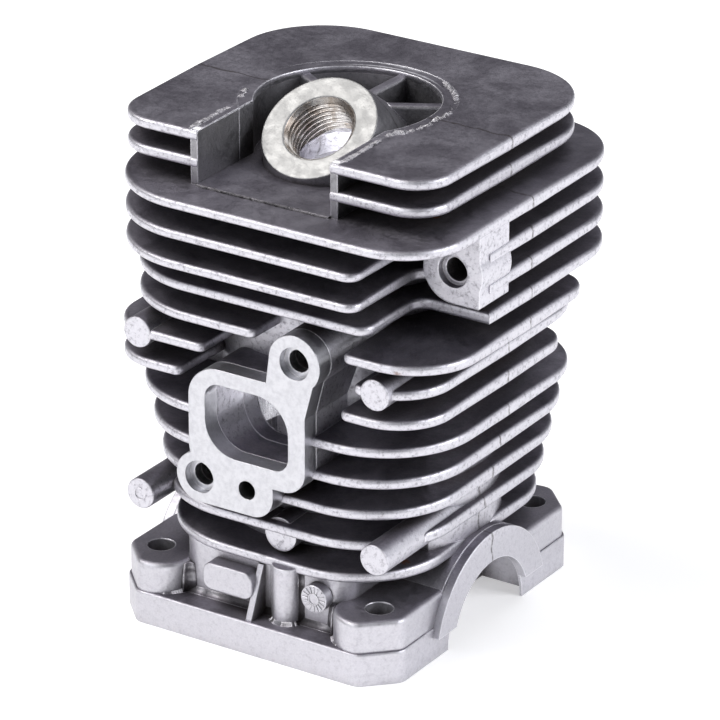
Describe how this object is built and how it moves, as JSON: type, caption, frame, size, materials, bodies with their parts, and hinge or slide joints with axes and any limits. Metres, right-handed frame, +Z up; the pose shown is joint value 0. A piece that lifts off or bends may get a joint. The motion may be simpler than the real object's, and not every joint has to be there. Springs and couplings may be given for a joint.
{
  "type": "two-stroke engine cylinder with integral head",
  "caption": "Finned die-cast two-stroke cylinder with integral head, tilted spark plug seat, intake flange, exhaust flange and upper crankcase half.",
  "frame": {"origin": "where the bore axis meets the crankcase split face, which is also the crank axis", "axes": "+Z up the bore towards the spark plug, +X along the crankshaft, -Y towards the intake, +Y towards the exhaust"},
  "size_m": [0.0781, 0.0793, 0.1091],
  "materials": {
    "cast_aluminium": "satin die-cast aluminium, slightly darkened on the flat fin faces",
    "machined_face": "machined, matte",
    "plug_seat": "cast boss with a turned, matte seat",
    "plug_thread": "cut thread, bright",
    "bore_plating": "hard plated and honed"
  },
  "bodies": {
    "root": {"barrel_wall": "cast_aluminium", "base_flange": "cast_aluminium", "bearing_housing_left": "cast_aluminium", "bearing_housing_right": "cast_aluminium", "bolt_pad_front_left": "cast_aluminium", "bolt_pad_front_right": "cast_aluminium", "bolt_pad_rear_left": "cast_aluminium", "bolt_pad_rear_right": "cast_aluminium", "bore_plating": "bore_plating", "combustion_dome": "cast_aluminium", "crankcase_wall": "cast_aluminium", "date_dial": "cast_aluminium", "ejector_stub_lower_left": "cast_aluminium", "ejector_stub_lower_right": "cast_aluminium", "ejector_stub_upper_left": "cast_aluminium", "ejector_stub_upper_right": "cast_aluminium", "exhaust_duct": "cast_aluminium", "exhaust_flange": "machined_face", "fin_01": "cast_aluminium", "fin_02": "cast_aluminium", "fin_03": "cast_aluminium", "fin_04": "cast_aluminium", "fin_05": "cast_aluminium", "fin_06": "cast_aluminium", "fin_07": "cast_aluminium", "fin_08": "cast_aluminium", "fin_09": "cast_aluminium", "fin_10": "cast_aluminium", "fin_11": "cast_aluminium", "fin_12": "cast_aluminium", "fin_13": "cast_aluminium", "fin_14": "cast_aluminium", "fin_lug": "cast_aluminium", "front_column": "cast_aluminium", "front_ridge": "cast_aluminium", "gusset_rib": "cast_aluminium", "intake_duct": "cast_aluminium", "intake_flange": "machined_face", "label_pad": "cast_aluminium", "plug_thread": "plug_thread", "plug_well_wall": "cast_aluminium", "seal_lip_left": "cast_aluminium", "seal_lip_right": "cast_aluminium", "shroud_screw_boss": "cast_aluminium", "slot_floor": "cast_aluminium", "slot_wall_left": "cast_aluminium", "slot_wall_right": "cast_aluminium", "spark_plug_boss": "plug_seat", "transfer_cover_left": "cast_aluminium", "transfer_cover_right": "cast_aluminium", "well_rib_left": "cast_aluminium", "well_rib_rear": "cast_aluminium", "well_rib_right": "cast_aluminium"}
  },
  "joints": []
}
